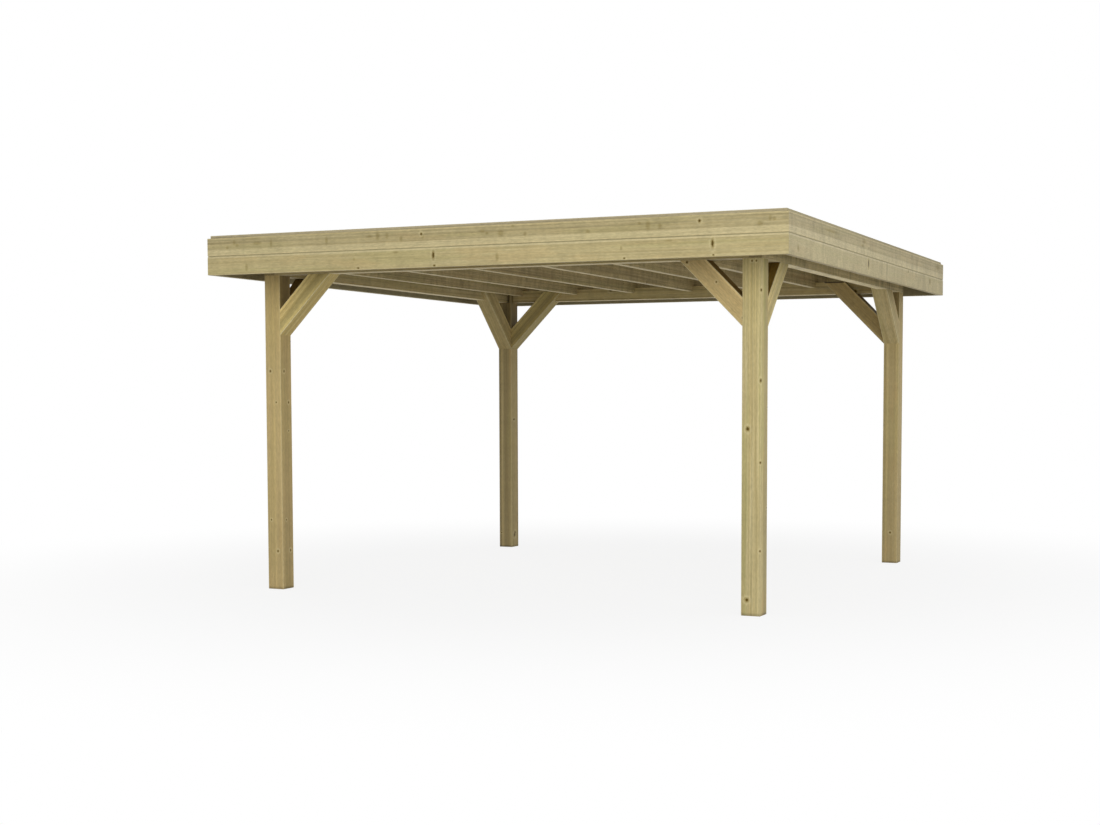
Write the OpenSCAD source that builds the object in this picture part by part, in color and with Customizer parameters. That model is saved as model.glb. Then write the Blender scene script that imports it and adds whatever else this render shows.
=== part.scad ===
// Flat-roofed wooden gazebo: an open frame of square posts, braced ring beams,
// joists, a boarded flat roof and a fascia two boards high.
// Millimetres, +Z up. The origin is on the ground at the centre of the plan; the front faces -Y.

/* [Overall] */
// Width of the roof over the fascia, left to right
roof_w = 4000; // [3000:50:5400]
// Depth of the roof over the fascia, front to back
roof_d = 4000; // [3000:50:5400]
// Height of the posts, from the ground to the underside of the beams
clear_h = 2105; // [1800:5:2700]

/* [Posts] */
// Side of the square posts
post_w = 120; // [100:1:150]
// Overhang of the fascia beyond the posts, at the left and right
overhang_side = 250; // [150:5:400]
// Overhang of the fascia beyond the posts, at the front and back
overhang_end = 275; // [150:5:400]
// Width of the stub left standing on the post beside the side beam
stub_w = 20; // [5:1:30]

/* [Beams] */
// Width of the ring beams
beam_w = 80; // [45:1:90]
// Height of the ring beams
beam_h = 96; // [70:1:150]

/* [Braces] */
// Depth of a brace, square to its length
brace_h = 120; // [80:1:140]
// Distance from the underside of the beam down to the foot of the brace
brace_leg = 396; // [300:2:520]

/* [Joists] */
// Width of a joist
joist_w = 45; // [36:1:75]
// Height of a joist
joist_h = 145; // [95:1:200]
// Depth of the notch that seats a joist over the front and back beams
joist_notch = 42; // [10:1:60]
// Play along a joist between its notch and the beam, at each side
joist_play = 1; // [0:0.5:4]
// Gap between an outermost joist and the braces beside it
joist_gap = 47.5; // [5:0.5:150]

/* [Fascia and trim] */
// Thickness of the fascia boards
fascia_t = 35; // [20:1:45]
// Height of the lower fascia board
fascia_lower_h = 124; // [90:1:160]
// How far the fascia hangs below the underside of the beams
fascia_drop = 9; // [0:1:60]
// Height of the trim strip on top of the fascia
trim_h = 19; // [8:1:40]
// Width of the trim strip, which laps the edge of the roof covering
trim_w = 60; // [45:1:100]
// Setback of the trim strip from the outer face of the fascia
trim_setback = 15; // [5:1:20]

/* [Roof] */
// Thickness of the roof boards
deck_t = 28; // [15:1:35]
// Thickness of the roof covering
cover_t = 3; // [1:0.5:6]

/* [Hidden] */
WOOD_LIGHT = [0.73, 0.66, 0.47];
WOOD_WARM = [0.70, 0.62, 0.42];
WOOD_DARK = [0.55, 0.48, 0.32];
COVER_GREY = [0.22, 0.23, 0.23];

// Levels
beam_top = clear_h + beam_h;
joist_z = beam_top - joist_notch;
deck_z = joist_z + joist_h;
deck_top = deck_z + deck_t;
fascia_z = clear_h - fascia_drop;
fascia_joint_z = fascia_z + fascia_lower_h;
fascia_top = deck_top + cover_t;

// Half sizes in plan, measured from the middle of the gazebo
half_w = roof_w / 2;
half_d = roof_d / 2;
inner_w = half_w - fascia_t;
inner_d = half_d - fascia_t;
post_x = half_w - overhang_side;
post_y = half_d - overhang_end;
post_in_x = post_x - post_w;
post_in_y = post_y - post_w;
beam_in_x = post_x - beam_w;
beam_in_y = post_y - beam_w;

// Braces stand at 45 degrees, flush with both faces of the post. The inner part of a brace
// is a tongue that laps inside the beam as far as the beam's top.
tongue_w = post_w - beam_w;
brace_cut = brace_h * sqrt(2);
foot_z = clear_h - brace_leg;

// Joists are spread evenly between the outermost two
JOISTS = 7;
joist_pitch = 2 * (post_in_x - joist_gap - joist_w / 2) / (JOISTS - 1);
function joist_x(i) = (i - (JOISTS + 1) / 2) * joist_pitch;

// A joist that crosses the tongue of an end brace is notched over it too. The tongue is
// met between these two places, measured from the middle of the gazebo.
tongue_far_x = post_in_x - (beam_top - foot_z);
tongue_near_x = post_in_x - (joist_z - foot_z - brace_cut);
joist_reach = joist_w / 2 + joist_play;
function crosses_tongue(i) =
    abs(joist_x(i)) + joist_reach > tongue_far_x && abs(joist_x(i)) - joist_reach < tongue_near_x;

// Puts a piece drawn for the back right corner at the corner with these signs
module corner(sx, sy) {
    mirror([sx < 0 ? 1 : 0, 0, 0]) mirror([0, sy < 0 ? 1 : 0, 0]) children();
}

// Swaps X and Y, so that a piece drawn along X runs along Y
module swapped() {
    mirror([1, -1, 0]) children();
}

// A post with a flat top for the beams and a short stub inside them
module post(sx, sy) {
    color(WOOD_LIGHT) corner(sx, sy) union() {
        translate([post_in_x, post_in_y, 0]) cube([post_w, post_w, clear_h]);
        translate([post_in_x, post_in_y, 0]) cube([stub_w, tongue_w, beam_top]);
    }
}

// A side beam, which runs through over the posts
module side_beam(sx) {
    color(WOOD_WARM) corner(sx, 1)
        translate([beam_in_x, -post_y, clear_h]) cube([beam_w, 2 * post_y, beam_h]);
}

// A front or back beam, which fits between the side beams
module end_beam(sy) {
    color(WOOD_WARM) corner(1, sy)
        translate([-beam_in_x, beam_in_y, clear_h]) cube([2 * beam_in_x, beam_w, beam_h]);
}

// A brace drawn along U from a post face at U = 0. Its outer part stops under the beam,
// and its inner part runs on up beside the beam to the beam's top.
module brace(face_u, outer_v) {
    translate([face_u, outer_v, 0]) rotate([90, 0, 0]) union() {
        linear_extrude(height = post_w) polygon([
            [0, foot_z], [-brace_leg, clear_h],
            [brace_cut - brace_leg, clear_h], [0, foot_z + brace_cut]
        ]);
        translate([0, 0, beam_w]) linear_extrude(height = tongue_w) polygon([
            [0, foot_z], [-brace_leg - beam_h, beam_top],
            [brace_cut - brace_leg - beam_h, beam_top], [0, foot_z + brace_cut]
        ]);
    }
}

// A brace under the front or back beam
module end_brace(sx, sy) {
    color(WOOD_WARM) corner(sx, sy) brace(post_in_x, post_y);
}

// A brace under a side beam
module side_brace(sx, sy) {
    color(WOOD_WARM) corner(sx, sy) swapped() brace(post_in_y, post_x);
}

// A joist from fascia to fascia, notched over the front and back beams
module joist(i) {
    notch_in_y = (crosses_tongue(i) ? post_in_y : beam_in_y) - joist_play;
    notch_l = post_y + joist_play - notch_in_y;
    color(WOOD_DARK) translate([joist_x(i) - joist_w / 2, 0, 0]) difference() {
        translate([0, -inner_d, joist_z]) cube([joist_w, 2 * inner_d, joist_h]);
        for (sy = [-1, 1]) corner(1, sy)
            translate([-1, notch_in_y, joist_z - 1]) cube([joist_w + 2, notch_l, joist_notch + 1]);
    }
}

// A joist behind a side fascia
module rim_joist(sx) {
    color(WOOD_DARK) corner(sx, 1)
        translate([inner_w - joist_w, -inner_d, joist_z]) cube([joist_w, 2 * inner_d, joist_h]);
}

// One side of a mitred ring, drawn along X at the back: out_u and out_v are half its outer sizes
module ring_side(out_u, out_v, width, height) {
    linear_extrude(height = height) polygon([
        [-out_u, out_v], [-out_u + width, out_v - width],
        [out_u - width, out_v - width], [out_u, out_v]
    ]);
}

module fascia_lower_end(sy) {
    color(WOOD_LIGHT) corner(1, sy) translate([0, 0, fascia_z])
        ring_side(half_w, half_d, fascia_t, fascia_lower_h);
}

module fascia_lower_side(sx) {
    color(WOOD_LIGHT) corner(sx, 1) swapped() translate([0, 0, fascia_z])
        ring_side(half_d, half_w, fascia_t, fascia_lower_h);
}

module fascia_upper_end(sy) {
    color(WOOD_LIGHT) corner(1, sy) translate([0, 0, fascia_joint_z])
        ring_side(half_w, half_d, fascia_t, fascia_top - fascia_joint_z);
}

module fascia_upper_side(sx) {
    color(WOOD_LIGHT) corner(sx, 1) swapped() translate([0, 0, fascia_joint_z])
        ring_side(half_d, half_w, fascia_t, fascia_top - fascia_joint_z);
}

module roof_trim_end(sy) {
    color(WOOD_WARM) corner(1, sy) translate([0, 0, fascia_top])
        ring_side(half_w - trim_setback, half_d - trim_setback, trim_w, trim_h);
}

module roof_trim_side(sx) {
    color(WOOD_WARM) corner(sx, 1) swapped() translate([0, 0, fascia_top])
        ring_side(half_d - trim_setback, half_w - trim_setback, trim_w, trim_h);
}

module roof_deck() {
    color(WOOD_DARK) translate([-inner_w, -inner_d, deck_z])
        cube([2 * inner_w, 2 * inner_d, deck_t]);
}

// A sheet on the roof boards, flush with the top of the fascia and clamped by the trim
module roof_covering() {
    color(COVER_GREY) translate([-inner_w, -inner_d, deck_top])
        cube([2 * inner_w, 2 * inner_d, cover_t]);
}

post(-1, -1);  // post_front_left
post(1, -1);  // post_front_right
post(-1, 1);  // post_back_left
post(1, 1);  // post_back_right
end_beam(-1);  // beam_front
end_beam(1);  // beam_back
side_beam(-1);  // beam_left
side_beam(1);  // beam_right
end_brace(-1, -1);  // brace_front_left
end_brace(1, -1);  // brace_front_right
end_brace(-1, 1);  // brace_back_left
end_brace(1, 1);  // brace_back_right
side_brace(-1, -1);  // brace_left_front
side_brace(-1, 1);  // brace_left_back
side_brace(1, -1);  // brace_right_front
side_brace(1, 1);  // brace_right_back
joist(1);  // joist_1
joist(2);  // joist_2
joist(3);  // joist_3
joist(4);  // joist_4
joist(5);  // joist_5
joist(6);  // joist_6
joist(7);  // joist_7
rim_joist(-1);  // rim_joist_left
rim_joist(1);  // rim_joist_right
fascia_lower_end(-1);  // fascia_lower_front
fascia_lower_end(1);  // fascia_lower_back
fascia_lower_side(-1);  // fascia_lower_left
fascia_lower_side(1);  // fascia_lower_right
fascia_upper_end(-1);  // fascia_upper_front
fascia_upper_end(1);  // fascia_upper_back
fascia_upper_side(-1);  // fascia_upper_left
fascia_upper_side(1);  // fascia_upper_right
roof_trim_end(-1);  // roof_trim_front
roof_trim_end(1);  // roof_trim_back
roof_trim_side(-1);  // roof_trim_left
roof_trim_side(1);  // roof_trim_right
roof_deck();
roof_covering();
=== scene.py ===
import bmesh
import bpy
import math
from mathutils import Matrix, Vector, noise


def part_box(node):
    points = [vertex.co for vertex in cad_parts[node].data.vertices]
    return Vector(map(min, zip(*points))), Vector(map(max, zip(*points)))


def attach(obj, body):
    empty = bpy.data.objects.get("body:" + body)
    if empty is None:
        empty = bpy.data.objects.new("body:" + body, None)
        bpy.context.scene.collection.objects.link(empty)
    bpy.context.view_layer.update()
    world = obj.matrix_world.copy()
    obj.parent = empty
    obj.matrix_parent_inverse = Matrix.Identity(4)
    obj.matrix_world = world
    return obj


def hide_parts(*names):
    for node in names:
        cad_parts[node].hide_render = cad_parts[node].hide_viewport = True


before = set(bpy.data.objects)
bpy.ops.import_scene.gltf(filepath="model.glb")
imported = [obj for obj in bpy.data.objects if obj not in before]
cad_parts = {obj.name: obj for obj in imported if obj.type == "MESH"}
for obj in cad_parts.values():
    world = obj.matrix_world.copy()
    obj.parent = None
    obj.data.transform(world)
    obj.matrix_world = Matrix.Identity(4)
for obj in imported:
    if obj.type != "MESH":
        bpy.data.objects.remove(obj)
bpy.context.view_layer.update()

X, Y, Z = Vector((1, 0, 0)), Vector((0, 1, 0)), Vector((0, 0, 1))

# How far the edges of the timbers are rounded over or chamfered, in metres.
POST_ARRIS = 0.003
BEAM_ARRIS = 0.003
BRACE_ARRIS = 0.003
JOIST_ARRIS = 0.0025
FASCIA_ARRIS = 0.0015
TRIM_ARRIS = 0.003
FOOT_CHAMFER = 0.002
END_CHAMFER = 0.0008

# The width of a post's stub, the depth of a brace, and a joist's play where it sits over a beam.
STUB_WIDTH = 0.020
BRACE_DEPTH = 0.120
JOIST_PLAY = 0.001

# The rebated groove between the two fascia boards.
GROOVE_HEIGHT = 0.0055
GROOVE_DEPTH = 0.003
GROOVE_ARRIS = 0.001

# The roof boards. The tongue fills the thickness between two shares of it.
BOARD_COUNT = 30
BOARDS_PER_PANEL = 6
BOARD_CHAMFER = 0.004
BOARD_SEAM = 0.0005
TONGUE = 0.006
TONGUE_LOW = 0.40
TONGUE_HIGH = 0.68

# The covering: its divisions, the flat border round it, and how far it swells inside that.
SHEET_CUTS = 89
SHEET_BORDER = 0.06
SHEET_SLOPE = 0.2
SHEET_SWELL = 0.0016

# How far a block that cuts a notch reaches past the piece, and what counts as the same place.
CLEAR = 0.01
CLOSE = 1e-5

# Faces that meet at less than this are shaded as one smooth surface.
SMOOTH_ANGLE = math.radians(40)


# ---------------------------------------------------------------- the bench

def take_up(piece):
    """Makes this piece the only one selected, and the active one."""
    bpy.ops.object.select_all(action="DESELECT")
    piece.select_set(True)
    bpy.context.view_layer.objects.active = piece


def name_piece(piece, name):
    """Gives the piece and its mesh one name."""
    piece.name = name
    piece.data.name = name


def squared_timber(name, low, high):
    """Adds a timber that fills the box between two corners."""
    low = Vector(low)
    high = Vector(high)
    bpy.ops.object.select_all(action="DESELECT")
    bpy.ops.mesh.primitive_cube_add(size=1, location=(low + high) / 2, scale=high - low)
    piece = bpy.context.object
    name_piece(piece, name)
    bpy.ops.object.transform_apply(location=True, rotation=True, scale=True)
    return piece


def start_edit(piece, mode):
    """Opens the piece's mesh with nothing selected."""
    take_up(piece)
    bpy.ops.object.mode_set(mode="EDIT")
    bpy.ops.mesh.select_mode(type=mode)
    bpy.ops.mesh.select_all(action="DESELECT")


def pick_edges(piece, wanted):
    """Selects the edges whose two ends satisfy wanted."""
    start_edit(piece, "EDGE")
    mesh = bmesh.from_edit_mesh(piece.data)
    for edge in mesh.edges:
        edge.select_set(wanted(edge.verts[0].co, edge.verts[1].co))
    bmesh.update_edit_mesh(piece.data)


def pick_faces(piece, wanted):
    """Selects the faces whose centre and normal satisfy wanted."""
    start_edit(piece, "FACE")
    mesh = bmesh.from_edit_mesh(piece.data)
    for face in mesh.faces:
        face.select_set(wanted(face.calc_center_median(), face.normal))
    bmesh.update_edit_mesh(piece.data)


def runs_along(direction):
    """A test for edges that run in one direction."""
    def test(a, b):
        return abs((b - a).normalized().dot(direction)) > 0.999
    return test


def ease(piece, wanted, width, segments=3):
    """Rounds the chosen edges over, or chamfers them with one segment."""
    pick_edges(piece, wanted)
    bpy.ops.mesh.bevel(offset=width, segments=segments, profile=0.5, affect="EDGES")
    bpy.ops.object.mode_set(mode="OBJECT")


def saw(piece, point, normal):
    """Cuts off what lies on the normal's side of a plane and closes the cut."""
    start_edit(piece, "VERT")
    bpy.ops.mesh.select_all(action="SELECT")
    bpy.ops.mesh.bisect(plane_co=point, plane_no=normal, use_fill=True, clear_outer=True)
    bpy.ops.object.mode_set(mode="OBJECT")


def score(piece, wanted, point, normal):
    """Divides the chosen faces along a plane."""
    pick_faces(piece, wanted)
    bpy.ops.mesh.bisect(plane_co=point, plane_no=normal)
    bpy.ops.object.mode_set(mode="OBJECT")


def draw_out(piece, wanted, shift):
    """Extrudes the chosen faces by a shift."""
    pick_faces(piece, wanted)
    bpy.ops.mesh.extrude_region_move(TRANSFORM_OT_translate={"value": shift})
    bpy.ops.object.mode_set(mode="OBJECT")


def notch(piece, low, high):
    """Takes the box between two corners out of a piece."""
    waste = squared_timber("waste", low, high)
    take_up(piece)
    cut = piece.modifiers.new("notch", "BOOLEAN")
    cut.operation = "DIFFERENCE"
    cut.solver = "EXACT"
    cut.object = waste
    bpy.ops.object.modifier_apply(modifier=cut.name)
    bpy.data.meshes.remove(waste.data)


def face_outward(piece):
    """Turns every normal out."""
    start_edit(piece, "FACE")
    bpy.ops.mesh.select_all(action="SELECT")
    bpy.ops.mesh.normals_make_consistent(inside=False)
    bpy.ops.object.mode_set(mode="OBJECT")


def copied(piece, name, turn=0, mirror=(1, 1), shift=(0, 0, 0)):
    """A copy with its own mesh: mirrored, turned about the upright axis in degrees, then moved."""
    copy = piece.copy()
    copy.data = piece.data.copy()
    name_piece(copy, name)
    bpy.context.scene.collection.objects.link(copy)
    flip = Matrix.Diagonal((mirror[0], mirror[1], 1, 1))
    copy.data.transform(Matrix.Translation(shift) @ Matrix.Rotation(math.radians(turn), 4, "Z") @ flip)
    if mirror[0] * mirror[1] < 0:
        face_outward(copy)
    return copy


def joined(pieces, name):
    """Makes several pieces one."""
    bpy.ops.object.select_all(action="DESELECT")
    for piece in pieces:
        piece.select_set(True)
    bpy.context.view_layer.objects.active = pieces[0]
    bpy.ops.object.join()
    name_piece(pieces[0], name)
    return pieces[0]


# ---------------------------------------------------------------- grain

# How much wood lies between one seed and the next, in metres.
LOG_LENGTH = 3.17


def store(piece, name, vectors):
    """Writes one vector for each point of the mesh, under a name that the finishes read."""
    found = piece.data.attributes.get(name)
    layer = found or piece.data.attributes.new(name, "FLOAT_VECTOR", "POINT")
    layer.data.foreach_set("vector", [number for vector in vectors for number in vector])


def lay_grain(piece, centre, along, across, size):
    """Stores where each point lies along, across and through its timber, and the timber's half size."""
    through = along.cross(across)
    places = [vertex.co - centre for vertex in piece.data.vertices]
    store(piece, "grain", [(p.dot(along), p.dot(across), p.dot(through)) for p in places])
    store(piece, "section", [Vector(size) / 2] * len(places))


def choose_log(piece, pith, seed, light=1.0, warm=0.0, marked=0.0):
    """Says how far the pith lies from the timber's middle, and gives it its own figure and tone.

    The seed picks the stretch of wood that it is cut from. Warm is rosy above 0 and green below."""
    count = len(piece.data.vertices)
    store(piece, "pith", [(pith[0], pith[1], seed * LOG_LENGTH)] * count)
    store(piece, "tone", [(light, warm, marked)] * count)


def hand_over(piece, nodes, finish):
    """Gives the piece its finish, smooths its eased arrises and puts it in the frame."""
    piece.data.materials.clear()
    piece.data.materials.append(finish)
    take_up(piece)
    bpy.ops.object.shade_smooth_by_angle(angle=SMOOTH_ANGLE)
    even = piece.modifiers.new("even", "WEIGHTED_NORMAL")
    even.keep_sharp = True
    even.weight = 100
    bpy.ops.object.modifier_apply(modifier=even.name)
    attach(piece, "root")
    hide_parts(*nodes)


# ---------------------------------------------------------------- shader sums

class Value:
    """A shader socket that can be added, multiplied and compared like a number."""

    def __init__(self, nodes, socket):
        self.nodes = nodes
        self.socket = socket

    def sum(self, operation, *values):
        return self.nodes.node("Math", {"operation": operation}, dict(enumerate(values)))

    def __add__(self, other):
        return self.sum("ADD", self, other)

    def __radd__(self, other):
        return self.sum("ADD", other, self)

    def __sub__(self, other):
        return self.sum("SUBTRACT", self, other)

    def __rsub__(self, other):
        return self.sum("SUBTRACT", other, self)

    def __mul__(self, other):
        return self.sum("MULTIPLY", self, other)

    def __rmul__(self, other):
        return self.sum("MULTIPLY", other, self)

    def __truediv__(self, other):
        return self.sum("DIVIDE", self, other)

    def __rtruediv__(self, other):
        return self.sum("DIVIDE", other, self)

    def __abs__(self):
        return self.sum("ABSOLUTE", self)

    def root(self):
        return self.sum("SQRT", self)

    def exponential(self):
        return self.sum("EXPONENT", self)

    def part(self):
        return self.sum("FRACT", self)

    def least(self, other):
        return self.sum("MINIMUM", self, other)

    def most(self, other):
        return self.sum("MAXIMUM", self, other)

    def angle(self, other):
        return self.sum("ARCTAN2", self, other)

    def rise(self, low, high):
        """0 below low and 1 above high, with a soft step between."""
        return self.nodes.node(
            "MapRange",
            {"interpolation_type": "SMOOTHSTEP"},
            {"Value": self, "From Min": low, "From Max": high},
        )

    def fall(self, low, high):
        """1 below low and 0 above high."""
        return 1 - self.rise(low, high)


class Nodes:
    """The nodes of a material or of the world."""

    def __init__(self, tree):
        self.tree = tree

    def node(self, kind, settings=None, sockets=None, output=0):
        """Adds a node: its settings first, then its sockets' values or links."""
        node = self.tree.nodes.new("ShaderNode" + kind)
        for name, value in (settings or {}).items():
            if name == "stops":
                self.set_stops(node.color_ramp, value)
            else:
                setattr(node, name, value)
        for name, value in (sockets or {}).items():
            self.feed(node.inputs[name], value)
        return Value(self, node.outputs[output])

    def feed(self, socket, value):
        if isinstance(value, Value):
            self.tree.links.new(value.socket, socket)
        else:
            socket.default_value = value

    def set_stops(self, ramp, stops):
        while len(ramp.elements) < len(stops):
            ramp.elements.new(0.5)
        for element, (place, colour) in zip(ramp.elements, stops):
            element.position = place
            element.color = (*colour, 1)

    def attribute(self, name):
        return self.node("Attribute", {"attribute_name": name}, output="Vector")

    def parts(self, vector):
        split = self.node("SeparateXYZ", None, {0: vector}).socket.node
        return [Value(self, socket) for socket in split.outputs]

    def vector(self, x, y, z):
        return self.node("CombineXYZ", None, {0: x, 1: y, 2: z})

    def shifted(self, vector, other, operation="ADD"):
        return self.node("VectorMath", {"operation": operation}, {0: vector, 1: other})

    def cloud(self, place, stretch, detail=2.0):
        """Soft noise from 0 to 1, with so many waves to the metre along, across and through."""
        scaled = self.shifted(place, stretch, "MULTIPLY")
        return self.node("TexNoise", None, {"Vector": scaled, "Scale": 1.0, "Detail": detail})

    def mixed(self, share, first, second):
        return self.node("Mix", {"data_type": "RGBA"}, {0: share, 6: first, 7: second}, output=2)

    def grey(self, value):
        """A colour with all three channels at one value."""
        return self.node("CombineXYZ", None, {0: value, 1: value, 2: value})

    def tinted(self, base, tint):
        return self.shifted(base, tint, "MULTIPLY")

    def shaded(self, base, strength):
        """The base with all three channels multiplied by one strength."""
        return self.tinted(base, self.grey(strength))

    def ramp(self, value, stops):
        return self.node("ValToRGB", {"stops": stops}, {0: value})

    def place(self):
        """The point's place in the frame, since each piece's object sits at the origin."""
        return self.node("TexCoord", output="Object")

    def distance(self, vector):
        return self.node("VectorMath", {"operation": "LENGTH"}, {0: vector}, output="Value")


class Finish(Nodes):
    """A material and the nodes that it is made of."""

    def __init__(self, name):
        self.material = bpy.data.materials.new(name)
        self.material.use_nodes = True
        self.shader = self.material.node_tree.nodes["Principled BSDF"]
        super().__init__(self.material.node_tree)

    def bump(self, strength, distance, height):
        """Feeds a fine relief to the shader."""
        sockets = {"Strength": strength, "Distance": distance, "Height": height}
        self.feed(self.shader.inputs["Normal"], self.node("Bump", None, sockets, output="Normal"))


# ---------------------------------------------------------------- wood

def colour(red, green, blue):
    return (red, green, blue, 1)


SAPWOOD = colour(0.545, 0.455, 0.222)
STREAK = colour(0.400, 0.312, 0.128)
# A pale wood colour for streaks, knot rings and sapwood edges, and the painted highlight on arrises and
# along the lower fascia board's top edge.
SHEEN = colour(0.640, 0.550, 0.300)
BLEACHED = colour(0.640, 0.560, 0.350)
GREENISH = colour(0.400, 0.375, 0.135)
ROSY = colour(0.560, 0.405, 0.175)
WEATHERED = colour(0.500, 0.440, 0.300)
# Painted highlight for undersides that the floor lights.
UNDERSIDE_HIGHLIGHT = colour(0.860, 0.735, 0.435)
KNOT = colour(0.100, 0.062, 0.004)
KNOT_HALO = colour(0.300, 0.215, 0.055)
STAIN = colour(0.290, 0.225, 0.078)
END_GRAIN = colour(0.330, 0.250, 0.110)
RUBBER = colour(0.020, 0.020, 0.021)
DUST = colour(0.070, 0.068, 0.062)
SPECK = colour(0.12, 0.115, 0.10)

# Tints that the wood's own colour is multiplied by. The first is painted shade, for faces
# that the light hardly reaches.
PAINTED_SHADE = (0.28, 0.21, 0.07)
AGED = (1.0, 0.98, 0.65)
RESINOUS = (1.0, 1.0, 0.86)

# The width of a year's growth, and how far apart branches grow along the log and round it.
RING = 0.0060
KNOT_PITCH = 0.30
KNOT_TURN = 0.9

# How strongly each feature of planed, pressure-treated softwood shows. Hatch runs across the
# grain, hides is how far marking covers the figure, knots is the share of branches that show,
# arris is how wide the paler edges are, and lift is how pale. The paler edges are partly worn
# wood and partly painted highlight.
PLAIN = {
    "rings": 0.20,
    "streaks": 1.0,
    "lines": 0.30,
    "patches": 0.5,
    "grit": 0.22,
    "smudges": 0.05,
    "hatch": 0.0,
    "hides": 0.0,
    "knots": 0.05,
    "arris": 0.005,
    "lift": 0.35,
    "rough": 0.62,
}


def in_the_log(f):
    """The point's place in the timber and in the log round its pith, as a bundle of values."""
    log = {}
    log["along"], log["across"], log["through"] = f.parts(f.attribute("grain"))
    log["half"] = f.parts(f.attribute("section"))
    pith_across, pith_through, log["start"] = f.parts(f.attribute("pith"))
    log["u"] = log["along"] + log["start"]
    log["v"] = log["across"] - pith_across
    log["w"] = log["through"] - pith_through
    log["place"] = f.vector(log["u"], log["v"] + log["start"], log["w"])
    log["radius"] = (log["v"] * log["v"] + log["w"] * log["w"]).root()
    log["light"], log["warm"], log["marked"] = f.parts(f.attribute("tone"))
    return log


def arris_of(log, width):
    """1 on the eased arrises and 0 on the faces."""
    beside = log["half"][1] - abs(log["across"])
    below = log["half"][2] - abs(log["through"])
    return beside.most(below).fall(width * 0.4, width)


def end_of(log):
    """1 on the sawn ends."""
    return (log["half"][0] - abs(log["along"])).fall(0.0004, 0.0012)


def branch_knots(f, log, share):
    """How many knot widths away the nearest branch is, for branches that grow out from the pith."""
    turn = log["w"].angle(log["v"])
    at_u = log["u"] / KNOT_PITCH
    at_turn = turn / KNOT_TURN + log["start"]
    cells = f.node(
        "TexVoronoi",
        {"voronoi_dimensions": "2D"},
        {"Vector": f.vector(at_u, at_turn, 0.0), "Scale": 1.0},
        output="Position",
    )
    near_u, near_turn = f.parts(cells)[:2]
    luck, girth = f.parts(Value(f, cells.socket.node.outputs["Color"]))[:2]
    du = (at_u - near_u) * KNOT_PITCH
    dt = (at_turn - near_turn) * KNOT_TURN * log["radius"]
    width = (0.003 + 0.006 * girth) * (log["radius"] / 0.07).most(0.55)
    return (du * du + dt * dt).root() / width + luck.rise(share - 0.001, share) * 40


def marked_knots(f, places):
    """The same measure for knots at given places, each with its half widths along the three axes."""
    here = f.place()
    nearest = None
    for place, spread in places:
        aside = f.shifted(here, tuple(place), "SUBTRACT")
        far = f.distance(f.tinted(aside, tuple(1 / s for s in spread)))
        nearest = far if nearest is None else nearest.least(far)
    return nearest


def growth(f, log, knot):
    """The late wood of the growth rings, which wander and swirl round the knots."""
    swirl = (knot * knot * -0.16).exponential() * 0.006
    wander = (f.cloud(log["place"], (0.8, 5, 5), 1.0) - 0.5) * 0.030
    ripple = (f.cloud(log["place"], (3.0, 18, 18), 1.0) - 0.5) * 0.004
    year = ((log["radius"] + wander + ripple + swirl) / RING).part()
    return year.rise(0.25, 0.92) * year.fall(0.94, 1.0)


def grain_lines(f, log):
    """Thin dark lines that run the length of the timber, where growth rings meet the face."""
    wide = f.cloud(log["place"], (0.25, 40, 40), 1.0)
    close = f.cloud(log["place"], (0.45, 85, 85), 1.0)
    return abs(wide - 0.5).fall(0.0, 0.060).most(abs(close - 0.47).fall(0.0, 0.045) * 0.7)


def streaked(f, log, late, look):
    """Lengthwise streaks, rings, and the green and rosy patches of treated pine."""
    broad = f.cloud(log["place"], (0.45, 34, 34), 2.0)
    narrow = f.cloud(log["place"], (1.3, 105, 105), 2.0)
    patch = f.cloud(log["place"], (2.2, 11, 11), 2.0)
    green = f.cloud(log["place"], (0.9, 16, 16), 1.0)
    depth = broad.rise(0.45, 0.64) * 0.45 + narrow.rise(0.46, 0.64) * 0.60
    plain = 1 - log["marked"] * look["hides"]
    base = f.mixed(depth * plain * look["streaks"], SAPWOOD, STREAK)
    pale = broad.fall(0.34, 0.50) * 0.35 + narrow.fall(0.36, 0.50) * 0.35
    base = f.mixed(pale * plain * look["streaks"], base, SHEEN)
    base = f.mixed(late * plain * look["rings"], base, STREAK)
    base = f.mixed(green.rise(0.52, 0.64) * 0.45 * look["patches"], base, GREENISH)
    base = f.mixed(patch.rise(0.56, 0.68) * 0.55 * look["patches"], base, ROSY)
    base = f.mixed(log["warm"].most(0), base, ROSY)
    return f.mixed((0 - log["warm"]).most(0), base, GREENISH)


def surface_tone(f, log, fibre, look):
    """How light the surface is: fibres, grit, smudges, thin lines and marks across the grain."""
    smudge = f.cloud(log["place"], (13, 5, 5), 3.0) - 0.5
    grit = f.cloud(log["place"], (34, 150, 150), 2.0) - 0.5
    shade = 1 + smudge * 4 * look["smudges"] + grit * 2 * look["grit"] + (fibre - 0.5) * 0.14
    plain = 1 - log["marked"] * look["hides"]
    shade = shade * (1 + (0.28 - grain_lines(f, log)) * plain * look["lines"])
    if look["hatch"]:
        mark = f.cloud(log["place"], (22, 8, 8), 3.0).rise(0.48, 0.66) * 0.7
        mark = mark + f.cloud(log["place"], (9, 4, 4), 3.0).rise(0.44, 0.62) * 0.4 - 0.42
        here = f.cloud(log["place"], (2.1, 3.0, 3.0), 2.0).rise(0.30, 0.60) * 0.8 + 0.2
        strength = look["hatch"] * (0.15 + log["marked"])
        shade = shade * (1 - mark * here * strength)
    return shade * log["light"]


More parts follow.
